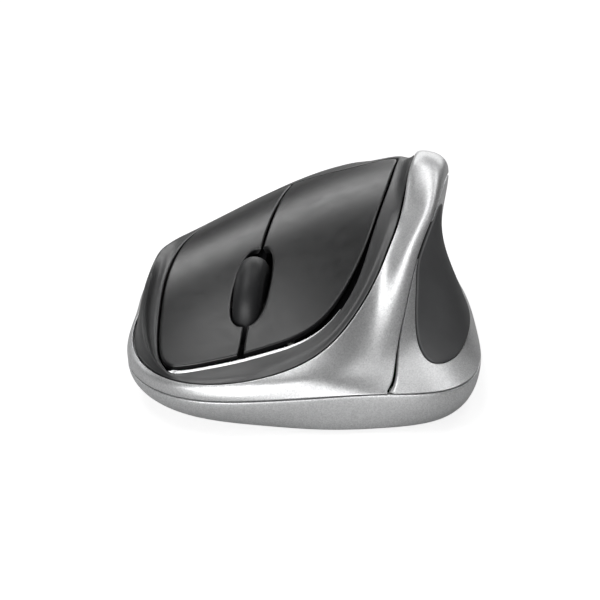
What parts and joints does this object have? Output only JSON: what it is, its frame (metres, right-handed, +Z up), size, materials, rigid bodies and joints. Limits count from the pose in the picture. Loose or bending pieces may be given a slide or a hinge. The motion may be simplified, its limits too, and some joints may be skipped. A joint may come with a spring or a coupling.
{
  "type": "computer mouse",
  "caption": "Right-handed ergonomic wireless computer mouse with a sloped palm cover, two buttons, a scroll wheel, a thumb grip and a battery door.",
  "frame": {"origin": "under the middle of the mouse's box, on the surface it rests on", "axes": "+Z up, the buttons face -Y, the palm end is +Y, the thumb side is +X"},
  "size_m": [0.0852, 0.1104, 0.0487],
  "materials": {
    "silver_paint": "silver metallic paint on moulded plastic, satin",
    "matte_charcoal": "matte charcoal, fine texture",
    "satin_graphite": "satin dark graphite, soft-touch",
    "gloss_black": "polished black",
    "soft_rubber": "matte dark rubber",
    "black_plastic": "black moulded plastic",
    "board_green": "green circuit board",
    "chip_black": "black epoxy package",
    "steel": "zinc-plated steel",
    "nickel": "nickel-plated contact metal",
    "clear_plastic": "clear moulded lens",
    "led_red": "red epoxy lamp",
    "cell_wrap": "plain film on a metal can",
    "white_plastic": "white switch plunger",
    "slick_white": "low-friction glide pad"
  },
  "bodies": {
    "case": {"base_shell": "silver_paint", "upper_housing": "silver_paint", "thumb_panel": "silver_paint", "thumb_grip": "soft_rubber", "top_frame": "matte_charcoal", "front_trim": "gloss_black", "carrier_spring": "steel", "encoder": "chip_black", "left_switch": "chip_black", "right_switch": "chip_black", "middle_switch": "chip_black", "main_board": "board_green", "controller_chip": "chip_black", "radio_chip": "chip_black", "capacitor": "nickel", "sensor_chip": "chip_black", "sensor_lens": "clear_plastic", "sensor_led": "led_red", "battery_tray": "black_plastic", "battery_front": "cell_wrap", "battery_rear": "cell_wrap", "battery_spring_front": "nickel", "battery_spring_rear": "nickel", "contact_plus_front": "nickel", "contact_plus_rear": "nickel", "contact_minus_front": "nickel", "contact_minus_rear": "nickel", "power_switch": "steel", "connect_switch": "steel", "glide_front_left": "slick_white", "glide_front_right": "slick_white", "glide_rear_left": "slick_white", "glide_rear_right": "slick_white", "case_screw_left": "steel", "case_screw_right": "steel", "board_screw_left": "steel", "board_screw_right": "steel"},
    "left_key": {"left_button": "satin_graphite"},
    "right_key": {"right_button": "satin_graphite"},
    "left_click": {"left_plunger": "white_plastic"},
    "right_click": {"right_plunger": "white_plastic"},
    "cradle": {"wheel_carrier": "black_plastic"},
    "wheel": {"wheel_tyre": "soft_rubber", "wheel_hub": "black_plastic", "wheel_axle": "steel"},
    "middle_click": {"middle_plunger": "white_plastic"},
    "power_knob": {"power_slider": "black_plastic"},
    "connect_key": {"connect_button": "black_plastic"},
    "door": {"battery_door": "black_plastic"}
  },
  "joints": [
    {"name": "left_press", "type": "hinge", "parent": "case", "child": "left_key", "pos_m": [-0.01786, 0.027, 0.02636], "axis": [1, 0, 0], "range_deg": [0, 0.8], "stiffness_Nm_per_rad": 2.5},
    {"name": "right_press", "type": "hinge", "parent": "case", "child": "right_key", "pos_m": [0.00357, 0.027, 0.03573], "axis": [1, 0, 0], "range_deg": [0, 0.8], "stiffness_Nm_per_rad": 2.5},
    {"name": "left_plunger_slide", "type": "slide", "parent": "case", "child": "left_click", "axis": [0, 0, -1], "range_m": [0, 0.0005], "stiffness_N_per_m": 1},
    {"name": "right_plunger_slide", "type": "slide", "parent": "case", "child": "right_click", "axis": [0, 0, -1], "range_m": [0, 0.0005], "stiffness_N_per_m": 1},
    {"name": "wheel_press", "type": "slide", "parent": "case", "child": "cradle", "axis": [0, 0, -1], "range_m": [0, 0.0004], "stiffness_N_per_m": 3000, "deforming": ["carrier_spring"]},
    {"name": "wheel_spin", "type": "hinge", "parent": "cradle", "child": "wheel", "pos_m": [-0.0117, -0.021, 0.0182], "axis": [1, 0, 0], "continuous": true},
    {"name": "middle_plunger_slide", "type": "slide", "parent": "case", "child": "middle_click", "axis": [0, 0, -1], "range_m": [0, 0.0004], "stiffness_N_per_m": 1},
    {"name": "power_slide", "type": "slide", "parent": "case", "child": "power_knob", "axis": [1, 0, 0], "range_m": [0, 0.003]},
    {"name": "connect_press", "type": "slide", "parent": "case", "child": "connect_key", "axis": [0, 0, 1], "range_m": [0, 0.0004], "stiffness_N_per_m": 200},
    {"name": "door_hinge", "type": "hinge", "parent": "case", "child": "door", "pos_m": [-0.0015, 0.005, 0.0008], "axis": [-1, 0, 0], "range_deg": [0, 100]}
  ],
  "couplings": [
    {"joint": "left_plunger_slide", "follows": "left_press", "m_per_rad": 0.0358},
    {"joint": "right_plunger_slide", "follows": "right_press", "m_per_rad": 0.0358},
    {"joint": "middle_plunger_slide", "follows": "wheel_press", "ratio": 1}
  ]
}
